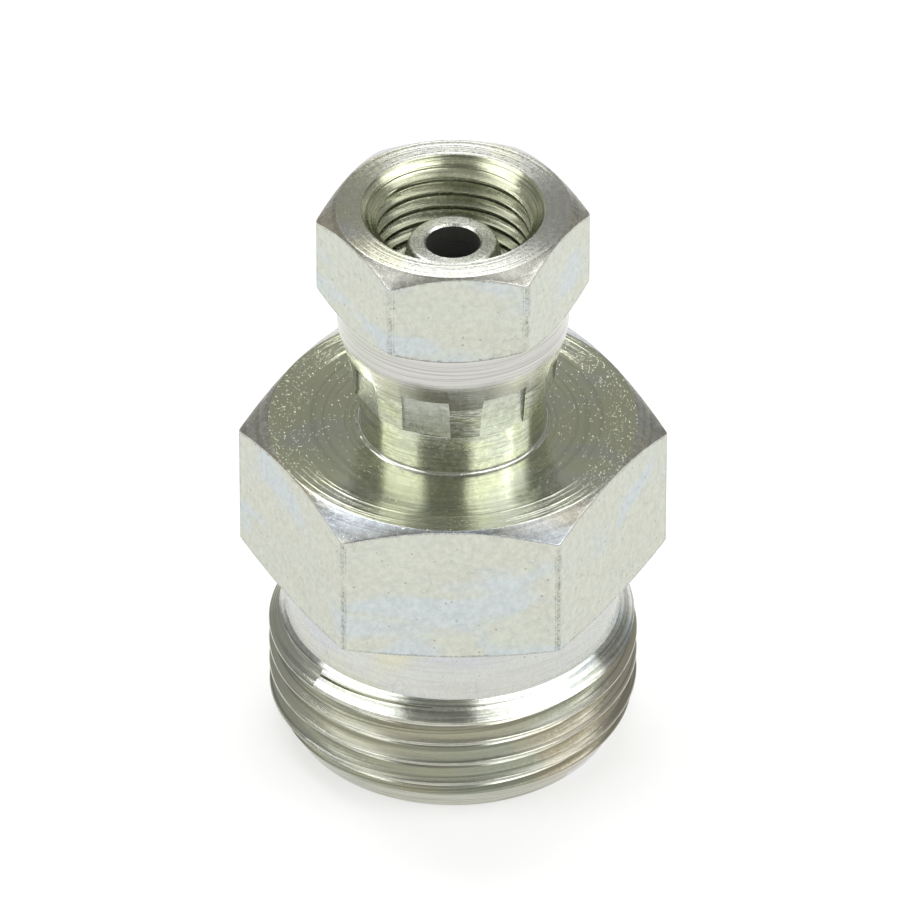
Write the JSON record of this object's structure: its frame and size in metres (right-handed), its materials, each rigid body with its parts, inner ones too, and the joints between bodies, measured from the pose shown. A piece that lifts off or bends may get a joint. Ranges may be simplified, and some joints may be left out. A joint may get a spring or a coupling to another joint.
{
  "type": "straight adapter",
  "caption": "Straight hydraulic adapter: a coned male thread end on a hexagon body, with a smaller crimped swivel nut that turns freely around a sealing nose.",
  "frame": {"origin": "centre of the end face of the male thread, on which the adapter stands", "axes": "+Z along the axis, from the male thread end to the swivel nut; the body's hexagon has two corners on X"},
  "size_m": [0.0254, 0.022, 0.0367],
  "materials": {
    "zinc_plated_steel": "turned and bright zinc plated, faint yellow-green passivate",
    "zinc_plated_nut_steel": "turned and bright zinc plated, faint pink and blue passivate"
  },
  "bodies": {
    "body": {"adapter_body": "zinc_plated_steel"},
    "nut": {"swivel_nut": "zinc_plated_nut_steel"}
  },
  "joints": [
    {"name": "nut_swivel", "type": "hinge", "parent": "body", "child": "nut", "pos_m": [0, 0, 0.0283], "axis": [0, 0, 1], "continuous": true}
  ]
}
